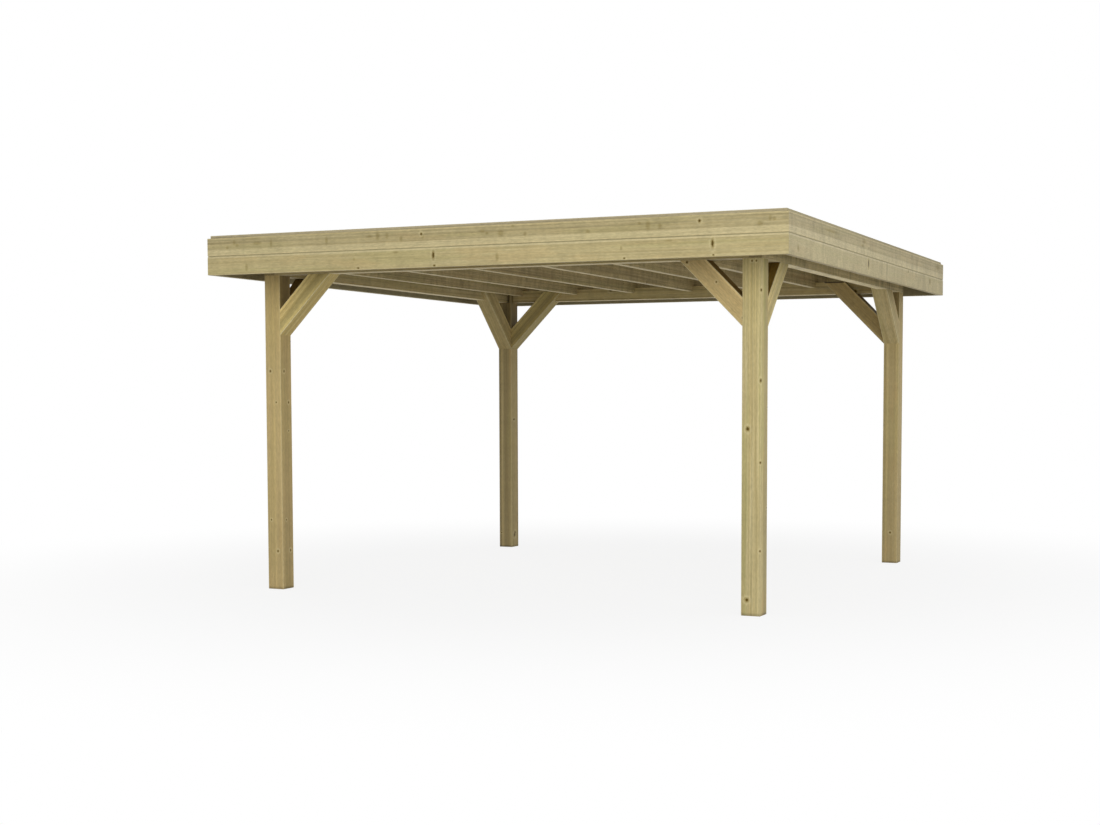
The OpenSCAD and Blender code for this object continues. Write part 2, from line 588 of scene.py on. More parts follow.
def wood(name, marked=(), feature=None, **strengths):
    """Planed, pressure-treated softwood with rings, streaks, knots, and arrises made paler partly as
    worn wood and partly as painted highlight.
    """
    look = {**PLAIN, **strengths}
    f = Finish(name)
    log = in_the_log(f)
    knot = branch_knots(f, log, look["knots"])
    if marked:
        knot = knot.least(marked_knots(f, marked))
    knot = knot * (0.65 + 0.7 * f.cloud(log["place"], (90, 160, 160), 1.0))
    late = growth(f, log, knot)
    fibre = f.cloud(log["place"], (22, 900, 900), 1.0)
    base = streaked(f, log, late, look)
    if feature:
        base = feature(f, log, base)
    # Paler arrises, partly worn wood and partly painted highlight.
    base = f.mixed(arris_of(log, look["arris"]) * look["lift"], base, SHEEN)
    base = f.mixed(end_of(log) * 0.8, base, END_GRAIN)
    base = f.mixed(knot.rise(1.2, 2.0) * knot.fall(2.2, 3.6) * 0.45, base, SHEEN)
    base = f.mixed(knot.fall(0.9, 2.2) * 0.55, base, KNOT_HALO)
    base = f.mixed(knot.fall(0.6, 1.2), base, KNOT)
    shade = surface_tone(f, log, fibre, look)
    f.feed(f.shader.inputs["Base Color"], f.shaded(base, shade))
    dull = look["rough"] + late * 0.08 + (fibre - 0.5) * 0.12 - knot.fall(0.7, 1.2) * 0.15
    f.feed(f.shader.inputs["Roughness"], dull)
    f.shader.inputs["Specular IOR Level"].default_value = 0.3
    f.bump(0.35, 0.0006, late * 0.5 + fibre * 0.5 - knot.fall(0.9, 1.3) * 0.6)
    return f.material


# ---------------------------------------------------------------- what marks each kind of timber

def half_size(log, side):
    """Half the timber's size across its width or through its thickness."""
    return log["half"][1] if side == "across" else log["half"][2]


def share_of(log, side, sideways=0):
    """0 at one side of the timber and 1 at the other."""
    return (log[side] + sideways) / (half_size(log, side) * 2) + 0.5


def layers(f, log, stops, sway, side):
    """A strength for each layer across or through the timber, which wanders along its length."""
    sideways = (f.cloud(log["place"], (0.7, 1, 1), 1.0) - 0.5) * sway
    share = share_of(log, side, sideways)
    return f.ramp(share, [(place, (strength,) * 3) for place, strength in stops])


def on_face(log, side, facing):
    """1 on the flat of one face and 0 on its arrises and beyond."""
    return (half_size(log, side) - log[side] * facing).fall(0.0003, 0.0010)


def weathered(f, log, base):
    """Greys the base as much as the piece is marked."""
    return f.mixed(log["marked"] * 0.42, base, WEATHERED)


def sapwood_and_highlight(f, log):
    """The colour of a board's pale edge: sapwood on the upper board, and painted highlight along the
    lower board's top edge. It is greyer on a marked board.
    """
    return f.mixed((log["marked"] * 0.9).least(1), SHEEN, BLEACHED)


def stained(f, log, base, places):
    """Faint brown stains where branches lie just under the surface."""
    ragged = 0.7 + 0.6 * f.cloud(log["place"], (60, 160, 160), 1.0)
    near = marked_knots(f, places) * ragged
    return f.mixed(near.fall(0.3, 1.4) * 0.60, base, STAIN)


def upper_board(f, log, base):
    """The upper fascia board's pale sapwood edge, the darker lines above it, and a painted highlight
    along its top edge.
    """
    # The bright stop near the top is a painted highlight along the top edge; the rest follow the
    # figure.
    stops = [
        (0.00, 1.00), (0.05, 1.10), (0.15, 1.01), (0.24, 1.04), (0.30, 1.03), (0.34, 0.96),
        (0.385, 0.86), (0.45, 0.90), (0.62, 0.95), (0.695, 0.78), (0.77, 0.91), (0.81, 0.92),
        (0.88, 0.77), (0.92, 0.92), (0.955, 1.13), (1.00, 1.02),
    ]
    base = weathered(f, log, base)
    pale = f.mixed(0.45, base, sapwood_and_highlight(f, log))
    edge = share_of(log, "across") - log["marked"] * 0.025
    base = f.mixed(edge.fall(0.320, 0.370), base, pale)
    base = f.tinted(base, layers(f, log, stops, 0.005, "across"))
    return stained(f, log, base, upper_board_stains())


def lower_board(f, log, base):
    """The lower fascia board's painted highlight along its top edge, painted shade in its groove, and
    painted shade on the side that faces in.
    """
    base = weathered(f, log, base)
    # Painted shade on the face that looks in, as strong as the board is marked.
    inner = on_face(log, "through", -1) * log["marked"] * 0.5
    base = f.shaded(base, 1 - inner)
    # Painted highlight along the top edge.
    edge = share_of(log, "across")
    base = f.mixed(edge.rise(0.855, 0.89) * 0.75, base, sapwood_and_highlight(f, log))
    # Painted shade in the groove and along the top of the face that looks in.
    sunk = (log["half"][2] - log["through"]).rise(0.001, 0.003)
    groove = (log["half"][1] - log["across"]).fall(0.0045, 0.0060) * sunk
    base = f.shaded(base, 1 - groove * 0.50)
    return stained(f, log, base, lower_board_stains())


def brace(f, log, base):
    """A dark streak down a marked brace, a painted highlight along its upper edge, painted shade on
    the face that looks up, and painted shade at the sawn top end.
    """
    stops = [
        (0.00, 1.06), (0.06, 1.20), (0.13, 1.16), (0.20, 0.95), (0.27, 0.82), (0.36, 0.84),
        (0.47, 0.82), (0.54, 1.04), (0.61, 1.24), (0.68, 1.20), (0.74, 1.04), (0.81, 1.02),
        (0.86, 1.28), (0.90, 1.14), (1.00, 1.12),
    ]
    streak = f.tinted(f.tinted(base, layers(f, log, stops, 0.008, "through")), RESINOUS)
    base = f.mixed(log["marked"], base, streak)
    # Painted highlight in a band along the upper edge.
    upper_edge_highlight = (log["half"][2] - log["through"]).fall(0.010, 0.014)
    base = f.shaded(base, 1 + upper_edge_highlight * 0.28)
    # Painted shade on the flat face that looks up, which the light hardly reaches.
    base = f.mixed(on_face(log, "through", 1), base, f.tinted(base, PAINTED_SHADE))
    # Painted shade along the sawn top end, where the gap under the roof lies dark.
    height = f.parts(f.place())[2]
    sawn_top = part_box("beam_front")[1].z
    return f.shaded(base, 1 - height.rise(sawn_top - 0.014, sawn_top - 0.008) * 0.85)


def lit_underside(f, log, base):
    """Weathered sides, and a painted highlight on the underside for the light that the floor throws up.
    """
    return f.mixed(on_face(log, "across", -1) * 0.95, weathered(f, log, base), UNDERSIDE_HIGHLIGHT)


def post_lines(f, log, base):
    """Long pale and dark lines that run up the posts, some of them partly painted shade, and painted
    shade on the inner faces at their tops.
    """
    here = f.place()
    x, y, z = f.parts(here)
    bend = (f.cloud(here, (0, 0, 1.1), 1.0) - 0.5) * 0.010
    total = 0
    for node, lines in POST_LINES.items():
        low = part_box(node)[0]
        for aside, back, width, strength in lines:
            dx = (x + bend - (low.x + aside)) / width
            dy = (y - bend - (low.y + back)) / width
            total = total + ((dx * dx + dy * dy) * -1).exponential() * strength
    upper = z.rise(1.4, 2.0)
    ends = z.fall(0.006, 0.022) * -0.30 + z.fall(0.2, 1.3) * -0.10 + upper * -0.08
    # Painted shade on the inner faces at the top, between the braces.
    corner = on_face(log, "across", -1).most(on_face(log, "through", 1)) * z.rise(1.78, 1.98)
    base = f.mixed(corner * 0.50, base, f.tinted(base, PAINTED_SHADE))
    base = f.mixed(upper * 0.25, base, f.tinted(base, AGED))
    return f.shaded(base, 1 + total + ends)


# Each line on a post: how far it lies from the post's left and front faces, its half width in
# metres, and how much paler or darker than the rest it is. Most follow the grain; the broad dark
# ones on the back posts' fronts and the front posts' right-hand faces are partly painted shade.
POST_LINES = {
    "post_front_right": [
        (0.010, 0.000, 0.007, -0.12),
        (0.054, 0.000, 0.007, 0.05),
        (0.064, 0.000, 0.005, -0.08),
        (0.080, 0.000, 0.008, 0.08),
        (0.103, 0.000, 0.007, 0.10),
        (0.118, 0.000, 0.005, -0.14),
        (0.120, 0.027, 0.014, 0.10),
        (0.120, 0.085, 0.034, -0.22),
    ],
    "post_front_left": [
        (0.010, 0.000, 0.007, -0.08),
        (0.066, 0.000, 0.010, 0.08),
        (0.083, 0.000, 0.006, -0.05),
        (0.112, 0.000, 0.007, 0.14),
        (0.120, 0.060, 0.045, -0.22),
        (0.120, 0.060, 0.010, 0.06),
    ],
    "post_back_left": [
        (0.010, 0.000, 0.012, -0.30),
        (0.064, 0.000, 0.046, -0.28),
        (0.032, 0.000, 0.010, 0.20),
        (0.114, 0.000, 0.008, 0.08),
        (0.120, 0.116, 0.014, -0.28),
    ],
    "post_back_right": [
        (0.012, 0.000, 0.008, -0.20),
        (0.060, 0.000, 0.045, -0.16),
        (0.031, 0.000, 0.007, 0.12),
        (0.103, 0.000, 0.008, 0.05),
    ],
}


def rubber(name):
    """A black roofing membrane, dusty and slightly dull."""
    f = Finish(name)
    here = f.place()
    dust = f.cloud(here, (1.3, 1.3, 1.3), 4.0)
    speck = f.cloud(here, (160, 160, 160), 2.0)
    base = f.mixed(dust.rise(0.40, 0.70) * 0.6, RUBBER, DUST)
    base = f.mixed(speck.rise(0.62, 0.75) * 0.35, base, SPECK)
    f.feed(f.shader.inputs["Base Color"], base)
    f.feed(f.shader.inputs["Roughness"], 0.66 + dust * 0.28)
    f.bump(0.3, 0.0008, speck + dust)
    return f.material


# ---------------------------------------------------------------- knots

# Half widths along the three axes, in metres.
ROUND = (0.006, 0.006, 0.007)
SMALL = (0.0045, 0.0045, 0.005)
SLIT = (0.0075, 0.008, 0.019)
STAIN_DEPTH = 0.01


def on_post(node, aside, back, height, spread=ROUND):
    """A knot by its place from a post's front right-hand arris, and its height."""
    low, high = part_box(node)
    return Vector((high.x - aside, low.y + back, height)), spread


def post_knots():
    """The knots on the posts, four of them on one arris."""
    right = "post_front_right"
    left = "post_front_left"
    return [
        on_post(right, 0.003, 0.002, 1.390, (0.006, 0.006, 0.009)),
        on_post(right, 0.083, 0, 1.107, (0.009, 0.010, 0.011)),
        on_post(right, 0.003, 0.002, 0.910, (0.005, 0.005, 0.007)),
        on_post(right, 0.003, 0.002, 0.388, (0.005, 0.005, 0.006)),
        on_post(right, 0.084, 0, 0.095, (0.010, 0.010, 0.010)),
        on_post(right, 0.003, 0.002, 1.917, (0.005, 0.005, 0.008)),
        on_post(right, 0.061, 0, 2.088, SMALL),
        on_post(right, 0.034, 0, 2.088, SMALL),
        on_post(left, 0.083, 0, 1.468),
        on_post(left, 0.039, 0, 1.259, SMALL),
        on_post(left, 0.040, 0, 0.258),
        on_post(left, 0, 0.038, 1.468),
        on_post(left, 0, 0.085, 1.259),
        on_post(left, 0, 0.087, 0.258),
        on_post(left, 0.090, 0, 0.468, SMALL),
        on_post(left, 0, 0.043, 0.468, SMALL),
        on_post("post_back_left", 0, 0.047, 0.104, (0.006, 0.012, 0.014)),
        on_post("post_back_left", 0, 0.045, 1.104, (0.006, 0.013, 0.007)),
        on_post("post_back_right", 0.056, 0, 0.238),
    ]


def on_front(x, z, spread=(0.007, 0.010, 0.005)):
    """A knot on the fascia's front face."""
    return Vector((x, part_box("fascia_lower_front")[0].y, z)), spread


def on_right(y, z, spread=(0.010, 0.007, 0.005)):
    """A knot on the fascia's right-hand face."""
    return Vector((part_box("fascia_lower_right")[1].x, y, z)), spread


def front_stain(x, z, half_width, half_height):
    """A stain on the fascia's front face."""
    return on_front(x, z, (half_width, STAIN_DEPTH, half_height))


def right_stain(y, z, half_width, half_height):
    """A stain on the fascia's right-hand face."""
    return on_right(y, z, (STAIN_DEPTH, half_width, half_height))


def lower_board_knots():
    """Four upright slits at mid height, and small knots near the lower edge."""
    return [
        on_front(-0.29, 2.169, SLIT),
        on_front(1.545, 2.171, SLIT),
        on_front(-0.283, 2.105),
        on_front(1.55, 2.105, (0.006, 0.010, 0.004)),
        on_front(0.995, 2.105, (0.006, 0.010, 0.0045)),
        on_front(-0.835, 2.106),
        on_right(-0.27, 2.172, (0.008, 0.013, 0.024)),
        on_right(1.54, 2.173, (0.008, 0.012, 0.018)),
    ]


def lower_board_stains():
    """Upright smudges, and flat ones under the groove."""
    return [
        front_stain(-1.69, 2.138, 0.012, 0.026),
        front_stain(-0.865, 2.162, 0.010, 0.010),
        front_stain(-0.56, 2.195, 0.024, 0.007),
        front_stain(0.155, 2.142, 0.012, 0.026),
        front_stain(0.975, 2.165, 0.008, 0.012),
        front_stain(1.275, 2.197, 0.026, 0.007),
        right_stain(-1.82, 2.142, 0.020, 0.022),
    ]


def upper_board_knots():
    """Two knots in the darker upper part."""
    return [
        on_front(-0.375, 2.302, (0.006, 0.008, 0.007)),
        on_front(1.465, 2.302, (0.007, 0.008, 0.008)),
    ]


def upper_board_stains():
    """Smudges in the darker upper part, most of them on the front."""
    return [
        front_stain(-1.84, 2.271, 0.012, 0.012),
        front_stain(-1.785, 2.302, 0.012, 0.018),
        front_stain(-1.762, 2.284, 0.014, 0.012),
        front_stain(-1.64, 2.320, 0.075, 0.005),
        front_stain(-1.605, 2.292, 0.034, 0.012),
        front_stain(-1.495, 2.287, 0.010, 0.028),
        front_stain(-1.07, 2.287, 0.012, 0.026),
        front_stain(-0.75, 2.301, 0.022, 0.008),
        front_stain(-0.69, 2.300, 0.015, 0.028),
        front_stain(-0.622, 2.299, 0.012, 0.022),
        front_stain(-0.52, 2.276, 0.012, 0.018),
        front_stain(-0.365, 2.286, 0.012, 0.016),
        front_stain(0.055, 2.302, 0.020, 0.012),
        front_stain(0.085, 2.287, 0.012, 0.010),
        front_stain(0.18, 2.284, 0.022, 0.022),
        front_stain(0.262, 2.322, 0.012, 0.008),
        front_stain(0.345, 2.272, 0.012, 0.014),
        front_stain(0.76, 2.271, 0.015, 0.012),
        front_stain(1.09, 2.304, 0.011, 0.010),
        front_stain(1.145, 2.289, 0.016, 0.032),
        front_stain(1.22, 2.282, 0.014, 0.018),
        front_stain(1.83, 2.273, 0.020, 0.016),
        front_stain(1.89, 2.301, 0.010, 0.018),
        front_stain(1.915, 2.295, 0.012, 0.012),
        right_stain(-1.15, 2.302, 0.150, 0.010),
        right_stain(-0.425, 2.275, 0.030, 0.009),
        right_stain(-0.38, 2.308, 0.042, 0.011),
        right_stain(1.80, 2.300, 0.080, 0.020),
    ]


def brace_knots():
    """Two knots on the front right-hand brace."""
    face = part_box("brace_front_right")[0].y
    return [
        (Vector((1.468, face, 1.972)), SMALL),
        (Vector((1.282, face, 2.093)), ROUND),
    ]


# ---------------------------------------------------------------- pieces

# What choose_log takes for each timber: its pith, seed, lightness, warmth and how far it is marked.
# The lightness is partly the timber's own tone and partly painted shade: the pieces in the roof's shade
# are set darker.
LOOKS = {
    "post_front_right": ((0.020, 0.075), 1, 1.13, 0.00),
    "post_front_left": ((-0.015, 0.050), 2, 1.11, 0.62),
    "post_back_right": ((0.012, -0.060), 3, 0.97, 0.45),
    "post_back_left": ((0.030, 0.040), 4, 0.90, 0.40),
    "beam_front": ((0.02, 0.06), 5, 0.84, 0.35),
    "beam_back": ((-0.01, 0.05), 6, 0.87, 0.30),
    "beam_right": ((0.02, 0.06), 7, 0.98, 0.20, 0.3),
    "beam_left": ((-0.01, 0.05), 8, 0.87, 0.30),
    "brace_front_right": ((0.020, -0.070), 30, 0.97, 0.75, 0.1),
    "brace_front_left": ((0.010, 0.060), 31, 1.10, 0.40, 1.0),
    "brace_back_left": ((0.010, 0.060), 33, 0.78, 0.30, 1.0),
    "brace_back_right": ((0.025, 0.050), 34, 0.82, 0.75, 0.3),
    "brace_right_back": ((0.03, 0.05), 36, 0.92, 0.30),
    "brace_right_front": ((0.03, 0.05), 37, 1.04, 0.05, 0.5),
    "brace_left_back": ((0.03, 0.05), 38, 0.83, 0.45, 0.4),
    "brace_left_front": ((0.03, 0.05), 39, 0.75, 0.40, 0.0),
}
# The joists are set darker partly as painted shade under the roof.
JOIST_TONE = (0.82, 0.40, 0.6)


def make_posts(finish):
    """Four posts, each with the stub that stands up inside the beams."""
    low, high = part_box("post_front_right")
    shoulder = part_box("beam_front")[0].z
    beam_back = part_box("beam_front")[1].y
    stub_side = low.x + STUB_WIDTH
    post = squared_timber("post_front_right_timber", low, (high.x, high.y, shoulder))
    ease(post, runs_along(Z), POST_ARRIS, 4)

    def on_top(centre, normal):
        return normal.z > 0.9

    def under_stub(centre, normal):
        return on_top(centre, normal) and centre.x < stub_side and centre.y > beam_back

    score(post, on_top, (stub_side, 0, 0), X)
    score(post, on_top, (0, beam_back, 0), Y)
    draw_out(post, under_stub, (0, 0, high.z - shoulder))
    ease(post, lambda a, b: max(a.z, b.z) < low.z + CLOSE, FOOT_CHAMFER, 1)
    middle = Vector(((low.x + high.x) / 2, (low.y + high.y) / 2, high.z / 2))
    lay_grain(post, middle, Z, X, (high.z, high.x - low.x, high.y - low.y))
    posts = {
        "post_front_right": post,
        "post_front_left": copied(post, "post_front_left_timber", mirror=(-1, 1)),
        "post_back_right": copied(post, "post_back_right_timber", mirror=(1, -1)),
        "post_back_left": copied(post, "post_back_left_timber", mirror=(-1, -1)),
    }
    for node, piece in posts.items():
        choose_log(piece, *LOOKS[node])
        hand_over(piece, [node], finish)


def make_beams(finish):
    """The side beams, which run through, and the end beams between them."""
    for model, other, along, across, mirror in (
        ("beam_right", "beam_left", Y, Z, (-1, 1)),
        ("beam_front", "beam_back", X, Z, (1, -1)),
    ):
        low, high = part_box(model)
        beam = squared_timber(model + "_timber", low, high)
        ease(beam, runs_along(along), BEAM_ARRIS)
        ease(beam, lambda a, b: abs((a - b).dot(along)) < CLOSE, END_CHAMFER, 1)
        size = high - low
        through = along.cross(across)
        spans = [abs(size.dot(axis)) for axis in (along, across, through)]
        lay_grain(beam, (low + high) / 2, along, across, spans)
        twin = copied(beam, other + "_timber", mirror=mirror)
        choose_log(beam, *LOOKS[model])
        choose_log(twin, *LOOKS[other])
        hand_over(beam, [model], finish)
        hand_over(twin, [other], finish)


def front_right_brace():
    """A brace at 45 degrees, seated under its beam, with a tongue up behind it."""
    low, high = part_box("brace_front_right")
    beam_low, beam_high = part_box("beam_front")
    span = high.x - low.x
    length = span * math.sqrt(2) + 2 * BRACE_DEPTH
    width = high.y - low.y
    half = Vector((length, width, BRACE_DEPTH)) / 2
    brace = squared_timber("brace_front_right_timber", -half, half)
    ease(brace, runs_along(X), BRACE_ARRIS)
    along = Vector((1, 0, -1)).normalized()
    above = Vector((1, 0, 1)).normalized()
    centre = (low + high) / 2 + above * BRACE_DEPTH / 2
    brace.rotation_euler = (0, math.radians(45), 0)
    brace.location = centre
    take_up(brace)
    bpy.ops.object.transform_apply(location=True, rotation=True, scale=True)
    saw(brace, (high.x, 0, 0), X)
    saw(brace, (0, 0, high.z), Z)
    past = 10 * CLEAR
    notch(
        brace,
        (low.x - past, beam_low.y - CLEAR, beam_low.z),
        (high.x + past, beam_high.y, high.z + past),
    )
    lay_grain(brace, centre, along, Y, (length, width, BRACE_DEPTH))
    return brace


def make_braces(finish):
    """Eight braces, two to a post: four under the end beams and four under the side beams."""
    brace = front_right_brace()
    low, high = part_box("brace_front_right")
    turned = copied(brace, "brace_right_back_timber", turn=90)
    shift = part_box("brace_right_back")[0] - Vector((-high.y, low.x, low.z))
    turned.data.transform(Matrix.Translation(shift))
    braces = {
        "brace_front_right": brace,
        "brace_front_left": copied(brace, "brace_front_left_timber", mirror=(-1, 1)),
        "brace_back_right": copied(brace, "brace_back_right_timber", mirror=(1, -1)),
        "brace_back_left": copied(brace, "brace_back_left_timber", mirror=(-1, -1)),
        "brace_right_back": turned,
        "brace_right_front": copied(turned, "brace_right_front_timber", mirror=(1, -1)),
        "brace_left_back": copied(turned, "brace_left_back_timber", mirror=(-1, 1)),
        "brace_left_front": copied(turned, "brace_left_front_timber", mirror=(-1, -1)),
    }
    for node, piece in braces.items():
        choose_log(piece, *LOOKS[node])
        hand_over(piece, [node], finish)


def make_joists(finish):
    """Seven joists notched over the end beams, and a rim joist outside them at each side."""
    low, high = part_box("joist_1")
    joist = squared_timber("joist_1_timber", low, high)
    ease(joist, runs_along(Y), JOIST_ARRIS)
    for beam in ("beam_front", "beam_back"):
        beam_low, beam_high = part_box(beam)
        notch(
            joist,
            (low.x - CLEAR, beam_low.y - JOIST_PLAY, low.z - CLEAR),
            (high.x + CLEAR, beam_high.y + JOIST_PLAY, beam_high.z),
        )
    size = high - low
    lay_grain(joist, (low + high) / 2, Y, Z, (size.y, size.z, size.x))
    for number in range(1, 8):
        node = f"joist_{number}"
        shift = (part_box(node)[0].x - low.x, 0, 0)
        piece = joist if number == 1 else copied(joist, node + "_timber", shift=shift)
        choose_log(piece, (0.03 - 0.008 * number, 0.05), 10 + number, *JOIST_TONE)
        hand_over(piece, [node], finish)

    low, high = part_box("rim_joist_right")
    rim = squared_timber("rim_joist_right_timber", low, high)
    ease(rim, runs_along(Y), JOIST_ARRIS)
    size = high - low
    lay_grain(rim, (low + high) / 2, Y, Z, (size.y, size.z, size.x))
    twin = copied(rim, "rim_joist_left_timber", mirror=(-1, 1))
    choose_log(rim, (0.02, 0.06), 20, *JOIST_TONE)
    choose_log(twin, (-0.02, 0.06), 21, *JOIST_TONE)
    hand_over(rim, ["rim_joist_right"], finish)
    hand_over(twin, ["rim_joist_left"], finish)


def around(front, node_stem, kind, finish, seed, tones):
    """Puts a mitred front piece on all four sides, each with its own figure and tone.

    Tones holds a lightness, a warmth and a marking for the front, right, back and left in turn."""
    for number, (side, turn) in enumerate((("front", 0), ("right", 90), ("back", 180), ("left", 270))):
        node = f"{node_stem}_{side}"
        piece = front if turn == 0 else copied(front, f"{node}_{kind}", turn=turn)
        choose_log(piece, (0.02 - 0.01 * number, 0.075), seed + number, *tones[number])
        hand_over(piece, [node], finish)


def mitred(name, node, shape):
    """A front board between 45-degree mitres, after shape has worked its long edges.

    Its grain is laid as if it were a metre longer, so that the mitres aren't taken for sawn ends."""
    low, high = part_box(node)
    board = squared_timber(name, low, high)
    shape(board, low, high)
    saw(board, (high.x, low.y, 0), X + Y)
    saw(board, (low.x, low.y, 0), Y - X)
    size = high - low
    lay_grain(board, (low + high) / 2, X, Z, (size.x + 1, size.z, size.y))
    return board


def at_edge(y, z):
    """A test for the long edge at one depth and height."""
    def test(a, b):
        return max(abs(a.y - y), abs(b.y - y), abs(a.z - z), abs(b.z - z)) < CLOSE
    return test


def make_fascia(lower_finish, upper_finish):
    """Two boards high all round, with an open rebated groove where they meet."""
    def shape_lower(board, low, high):
        for y in (low.y, high.y):
            ease(board, at_edge(y, low.z), FASCIA_ARRIS)
        shoulder = high.z - GROOVE_HEIGHT
        out = (high.x + CLEAR, low.y + GROOVE_DEPTH, high.z + CLEAR)
        notch(board, (low.x - CLEAR, low.y - CLEAR, shoulder), out)
        ease(board, at_edge(low.y, shoulder), GROOVE_ARRIS, 1)

    def shape_upper(board, low, high):
        for z in (low.z, high.z):
            ease(board, at_edge(low.y, z), GROOVE_ARRIS, 1)

    lower = mitred("fascia_lower_front_board", "fascia_lower_front", shape_lower)
    # The right-hand boards are set darker and greyer partly as painted shade, for the cooler, weaker
    # light on that side. On the lower boards the marking also sets the painted shade on the faces that
    # look in, and the back board is set darker for it.
    tones = [(1.065, 0.0, 0.2), (0.94, 0.0, 1.0), (0.90, 0.0, 0.8), (1.0, 0.05, 0.9)]
    around(lower, "fascia_lower", "board", lower_finish, 40, tones)
    upper = mitred("fascia_upper_front_board", "fascia_upper_front", shape_upper)
    tones = [(1.03, 0.05, 0.3), (0.935, 0.10, 1.0), (1.0, 0.10, 0.4), (1.0, 0.10, 0.7)]
    around(upper, "fascia_upper", "board", upper_finish, 50, tones)


def make_trim(finish):
    """Flat strips that hold the roof covering's edge down."""
    def shape_strip(board, low, high):
        ease(board, runs_along(X), TRIM_ARRIS)

    strip = mitred("roof_trim_front_strip", "roof_trim_front", shape_strip)
    tones = [(0.92, 0.0, 1.6), (0.76, 0.0, 1.2), (0.80, 0.0, 1.2), (0.80, 0.0, 1.2)]
    around(strip, "roof_trim", "strip", finish, 60, tones)


def make_roof_boards(finish):
    """Tongued boards across the joists, with V joints on the underside, in panels.

    The last board's tongue is sawn off."""
    low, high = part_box("roof_deck")
    width = (high.y - low.y) / BOARD_COUNT
    board = squared_timber("roof_board", low, (high.x, low.y + width - BOARD_SEAM, high.z))
    ease(board, lambda a, b: runs_along(X)(a, b) and a.z < low.z + CLOSE, BOARD_CHAMFER, 1)
    thick = high.z - low.z
    tongue_low = low.z + thick * TONGUE_LOW
    tongue_high = low.z + thick * TONGUE_HIGH
    for height in (tongue_low, tongue_high):
        score(board, lambda centre, normal: abs(normal.y) > 0.9, (0, 0, height), Z)

    def tongue_strip(facing):
        def test(centre, normal):
            return tongue_low < centre.z < tongue_high and normal.y * facing > 0.9
        return test

    draw_out(board, tongue_strip(1), (0, TONGUE, 0))
    draw_out(board, tongue_strip(-1), (0, TONGUE + BOARD_SEAM, 0))
    centre = Vector((0, low.y + width / 2, (low.z + high.z) / 2))
    lay_grain(board, centre, X, Y, (high.x - low.x, width, thick))
    boards = [board]
    for number in range(1, BOARD_COUNT):
        boards.append(copied(board, f"roof_board_{number}", shift=(0, width * number, 0)))
    for number, piece in enumerate(boards):
        tone = 1 + 0.10 * noise.noise(Vector((number * 3.7, 0.5, 0.5)))
        choose_log(piece, (0.03 * math.sin(number * 2.4), 0.08), 70 + number, tone)
    saw(boards[-1], (0, high.y - BOARD_SEAM, 0), Y)
    for number in range(BOARD_COUNT // BOARDS_PER_PANEL):
        first = number * BOARDS_PER_PANEL
        panel = joined(boards[first:first + BOARDS_PER_PANEL], f"roof_boards_{number + 1}")
        hand_over(panel, ["roof_deck"], finish)


def make_covering(finish):
    """One sheet of membrane, which swells a little inside a flat border."""
    low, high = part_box("roof_covering")
    bpy.ops.object.select_all(action="DESELECT")
    middle = ((low.x + high.x) / 2, (low.y + high.y) / 2, low.z)
    span = (high.x - low.x, high.y - low.y, 1)
    bpy.ops.mesh.primitive_plane_add(size=1, location=middle)
    sheet = bpy.context.object
    name_piece(sheet, "roof_membrane")
    sheet.scale = span
    bpy.ops.object.transform_apply(location=True, rotation=True, scale=True)
    start_edit(sheet, "FACE")
    bpy.ops.mesh.select_all(action="SELECT")
    bpy.ops.mesh.subdivide(number_cuts=SHEET_CUTS)
    bpy.ops.mesh.extrude_region_move(TRANSFORM_OT_translate={"value": (0, 0, high.z - low.z)})
    bpy.ops.object.mode_set(mode="OBJECT")
    for vertex in sheet.data.vertices:
        place = vertex.co
        edge = min(place.x - low.x, high.x - place.x, place.y - low.y, high.y - place.y)
        if place.z > high.z - CLOSE and edge > SHEET_BORDER:
            swell = noise.noise(place * 2.1) * 0.6 + noise.noise(place * 7.0) * 0.4
            place.z += SHEET_SWELL * (swell + 0.6) * min(1, (edge - SHEET_BORDER) / SHEET_SLOPE)
    face_outward(sheet)
    hand_over(sheet, ["roof_covering"], finish)


# ---------------------------------------------------------------- studio

KEY_PLACE = (9.5, -20.0, 9.0)
KEY_SIZE = 16.0
KEY_SHARE = 0.365
FILL_PLACE = (9.0, -3.0, 2.5)
FILL_SIZE = 4.0
FILL_SHARE = 0.12
FILL_TINT = (0.97, 1.0, 1.06)
SKY = 0.44
AIM = Vector((0, 0, 1.2))

# The floor: its size, how bright it is near the posts, and where it has faded to white.
FLOOR_SIZE = 160
FLOOR_GLOW = 0.86
FADE_FROM = 2.0
FADE_TO = 6.0

CAMERA_PLACE = (4.7472, -10.6345, 1.2909)
CAMERA_TILT = math.radians(86.455)
CAMERA_TURN = math.radians(23.44)
LENS = 52.26
LENS_SHIFT = (-0.0687, 0.0764)


def softbox(name, place, size, share, tint=(1, 1, 1)):
    """A square lamp that lights a surface facing it at this share of full white."""
    lamp = bpy.data.lights.new(name, "AREA")
    lamp.shape = "SQUARE"
    lamp.size = size
    back = Vector(place) - AIM
    lamp.energy = share * (math.pi * back.length) ** 2
    lamp.color = tint
    stand = bpy.data.objects.new(name, lamp)
    bpy.context.scene.collection.objects.link(stand)
    stand.location = place
    stand.rotation_euler = back.to_track_quat("Z", "Y").to_euler()
    stand.visible_camera = False


def seen_directly(f):
    """1 for rays from the camera, mirrors and glass."""
    seen = f.node("LightPath", output="Is Camera Ray")
    path = seen.socket.node
    for name in ("Is Glossy Ray", "Is Transmission Ray"):
        seen = seen.most(Value(f, path.outputs[name]))
    return seen


def make_world():
    """An even sky that is plain white to the eye."""
    world = bpy.data.worlds.new("studio")
    bpy.context.scene.world = world
    world.use_nodes = True
    f = Nodes(world.node_tree)
    sky = f.tree.nodes["Background"]
    sky.inputs["Color"].default_value = (1, 1, 1, 1)
    f.feed(sky.inputs["Strength"], SKY + seen_directly(f) * (1 - SKY))


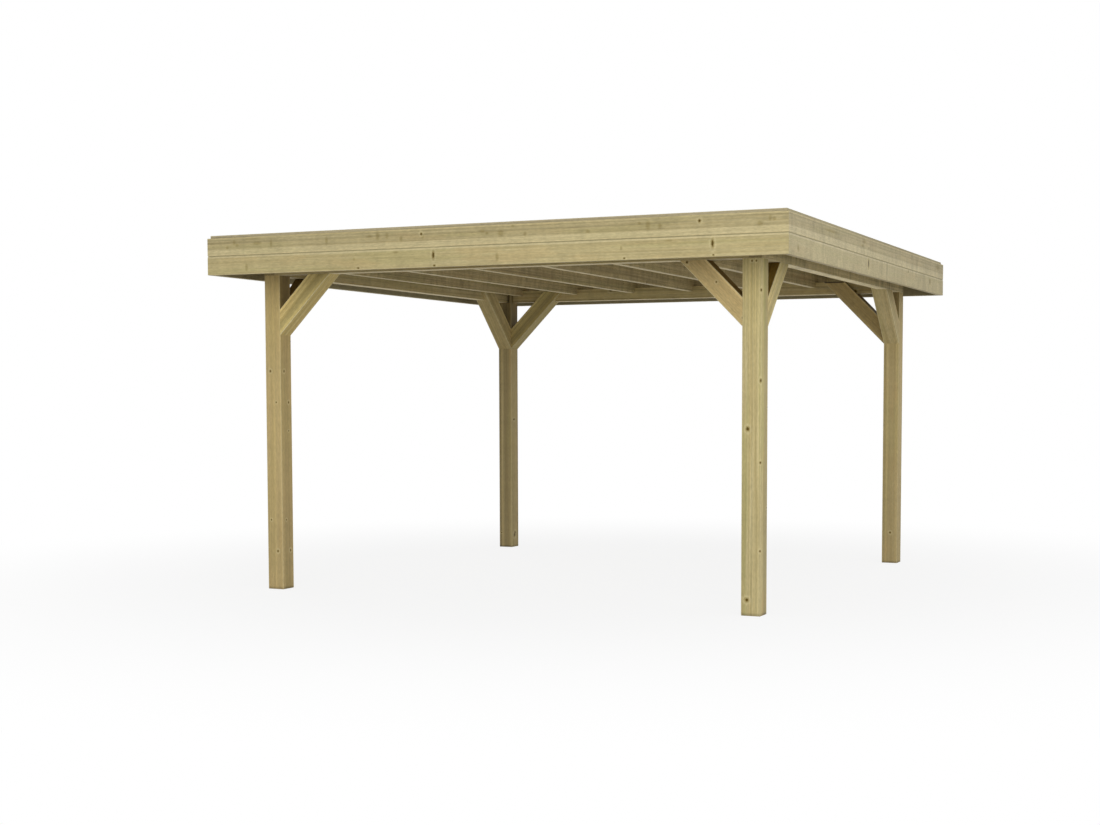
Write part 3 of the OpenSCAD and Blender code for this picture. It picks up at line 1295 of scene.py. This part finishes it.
def make_floor():
    """A pale floor that keeps a soft shadow and fades to plain white further out."""
    bpy.ops.object.select_all(action="DESELECT")
    bpy.ops.mesh.primitive_plane_add(size=FLOOR_SIZE, location=(0, 0, 0))
    floor = bpy.context.object
    name_piece(floor, "studio_floor")
    f = Finish("studio_floor")
    far = f.distance(f.place())
    f.shader.inputs["Base Color"].default_value = (0.8, 0.8, 0.8, 1)
    f.shader.inputs["Roughness"].default_value = 1.0
    f.shader.inputs["Specular IOR Level"].default_value = 0.0
    white = f.node("Emission", None, {"Strength": 1.0})
    glow = FLOOR_GLOW + far.rise(FADE_FROM, FADE_TO) * (1 - FLOOR_GLOW)
    share = seen_directly(f) * glow
    shown = f.node("MixShader", None, {0: share, 1: Value(f, f.shader.outputs[0]), 2: white})
    f.feed(f.tree.nodes["Material Output"].inputs["Surface"], shown)
    floor.data.materials.append(f.material)


def make_camera():
    """Stands off the front right-hand corner at chest height."""
    camera = bpy.data.cameras.new("camera")
    camera.sensor_width = 36.0
    camera.lens = LENS
    camera.shift_x, camera.shift_y = LENS_SHIFT
    stand = bpy.data.objects.new("camera", camera)
    bpy.context.scene.collection.objects.link(stand)
    stand.location = CAMERA_PLACE
    stand.rotation_euler = (CAMERA_TILT, 0, CAMERA_TURN)
    bpy.context.scene.camera = stand


make_camera()
make_world()
softbox("key", KEY_PLACE, KEY_SIZE, KEY_SHARE)
softbox("fill", FILL_PLACE, FILL_SIZE, FILL_SHARE, FILL_TINT)
make_floor()

make_posts(
    wood("post_wood", post_knots(), post_lines, streaks=0.75, lines=0.10, arris=0.008, patches=0.9)
)
make_beams(wood("beam_wood", feature=lit_underside, hatch=0.9))
make_braces(wood("brace_wood", brace_knots(), brace, lines=0.14, arris=0.006, lift=0.9, grit=0.34))
make_joists(
    wood("joist_wood", feature=lit_underside, patches=1.3, hatch=0.40, smudges=0.12, knots=0.20,
         lift=0.7, arris=0.005, grit=0.34)
)
make_fascia(
    wood("fascia_lower_wood", lower_board_knots(), lower_board, streaks=0.6, lines=0.09, hatch=0.17,
         smudges=0.07, hides=0.8, knots=0.03, grit=0.26),
    wood("fascia_upper_wood", upper_board_knots(), upper_board, streaks=0.8, lines=0.16, hatch=0.15,
         smudges=0.08, hides=0.6, knots=0.04, grit=0.28),
)
make_trim(wood("trim_wood", feature=weathered, knots=0.03))
make_roof_boards(wood("board_wood"))
make_covering(rubber("membrane_rubber"))

bpy.context.scene.view_settings.view_transform = "Standard"
